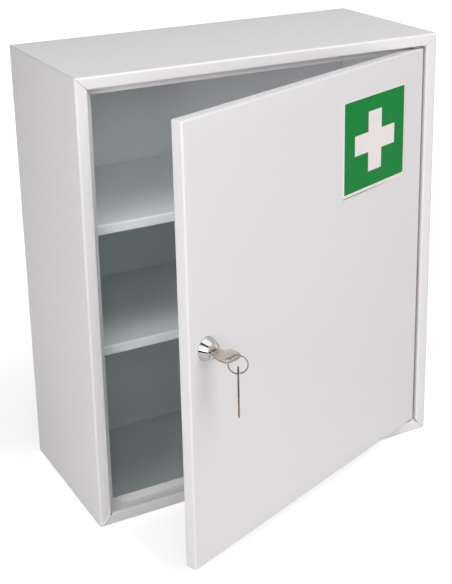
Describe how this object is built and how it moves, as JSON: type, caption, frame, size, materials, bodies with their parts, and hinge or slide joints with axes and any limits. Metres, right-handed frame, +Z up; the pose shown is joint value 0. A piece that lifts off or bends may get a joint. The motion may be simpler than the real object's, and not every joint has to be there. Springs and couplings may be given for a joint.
{
  "type": "lockable medicine cabinet",
  "caption": "White sheet-steel wall cabinet with loose shelves, a pin-hinged inset door, a wafer cam lock with its key in place, a split ring and a hanging spare key.",
  "frame": {"origin": "centre of the cabinet's base face, on the outside of the bottom panel", "axes": "+X to the right as seen from the front, +Y to the wall, +Z up; the front frame's face is the plane y = -0.090 m and the rear flanges' the plane y = +0.090 m"},
  "size_m": [0.4, 0.3459, 0.46],
  "materials": {
    "case_paint": "smooth gloss powder coat, white",
    "door_paint": "smooth gloss powder coat, white",
    "shelf_paint": "smooth gloss powder coat, white",
    "zinc_plate": "bright zinc plate",
    "nylon": "natural nylon",
    "white_film": "printed self-adhesive film",
    "green_film": "printed self-adhesive film",
    "chrome": "polished chrome plate",
    "plug_metal": "nickel-plated zinc casting",
    "brass": "stamped brass",
    "key_nickel": "nickel-plated brass, lightly worn",
    "ring_steel": "nickel-plated spring steel wire"
  },
  "bodies": {
    "cabinet": {"left_side": "case_paint", "right_side": "case_paint", "top_panel": "case_paint", "bottom_panel": "case_paint", "back_panel": "case_paint", "shelf_pegs": "zinc_plate", "upper_hinge_pin": "zinc_plate", "lower_hinge_pin": "zinc_plate"},
    "door": {"door_panel": "door_paint", "upper_door_bush": "nylon", "lower_door_bush": "nylon", "sign_backing": "white_film", "sign_field": "green_film", "lock_collar": "chrome", "lock_housing": "chrome", "lock_nut": "zinc_plate"},
    "lock_plug": {"lock_plug": "plug_metal", "lock_wafers": "brass", "lock_cam": "zinc_plate", "cam_washer": "zinc_plate", "cam_screw": "zinc_plate"},
    "key": {"key": "key_nickel"},
    "key_ring": {"key_ring": "ring_steel"},
    "spare_key": {"spare_key": "key_nickel"},
    "upper_shelf": {"upper_shelf": "shelf_paint"},
    "lower_shelf": {"lower_shelf": "shelf_paint"}
  },
  "joints": [
    {"name": "door_hinge", "type": "hinge", "parent": "cabinet", "child": "door", "pos_m": [0.1783, -0.0845, 0], "axis": [0, 0, 1], "range_deg": [-21.3, 88.7]},
    {"name": "lock_turn", "type": "hinge", "parent": "door", "child": "lock_plug", "pos_m": [-0.13815, -0.21378, 0.233], "axis": [0.3633, -0.9317, 0], "range_deg": [-90, 0]},
    {"name": "key_slide", "type": "slide", "parent": "lock_plug", "child": "key", "axis": [0.3633, -0.9317, 0], "range_m": [0, 0.03]},
    {"name": "ring_swing", "type": "hinge", "parent": "key", "child": "key_ring", "pos_m": [-0.12339, -0.24559, 0.233], "axis": [0.8829, -0.4695, 0], "range_deg": [-20, 20]},
    {"name": "spare_key_swing", "type": "hinge", "parent": "key_ring", "child": "spare_key", "pos_m": [-0.12339, -0.24559, 0.2182], "axis": [0.8829, -0.4695, 0], "range_deg": [-30, 30]},
    {"name": "upper_shelf_lift", "type": "slide", "parent": "cabinet", "child": "upper_shelf", "axis": [0, 0, 1], "range_m": [0, 0.012]},
    {"name": "lower_shelf_lift", "type": "slide", "parent": "cabinet", "child": "lower_shelf", "axis": [0, 0, 1], "range_m": [0, 0.012]}
  ]
}
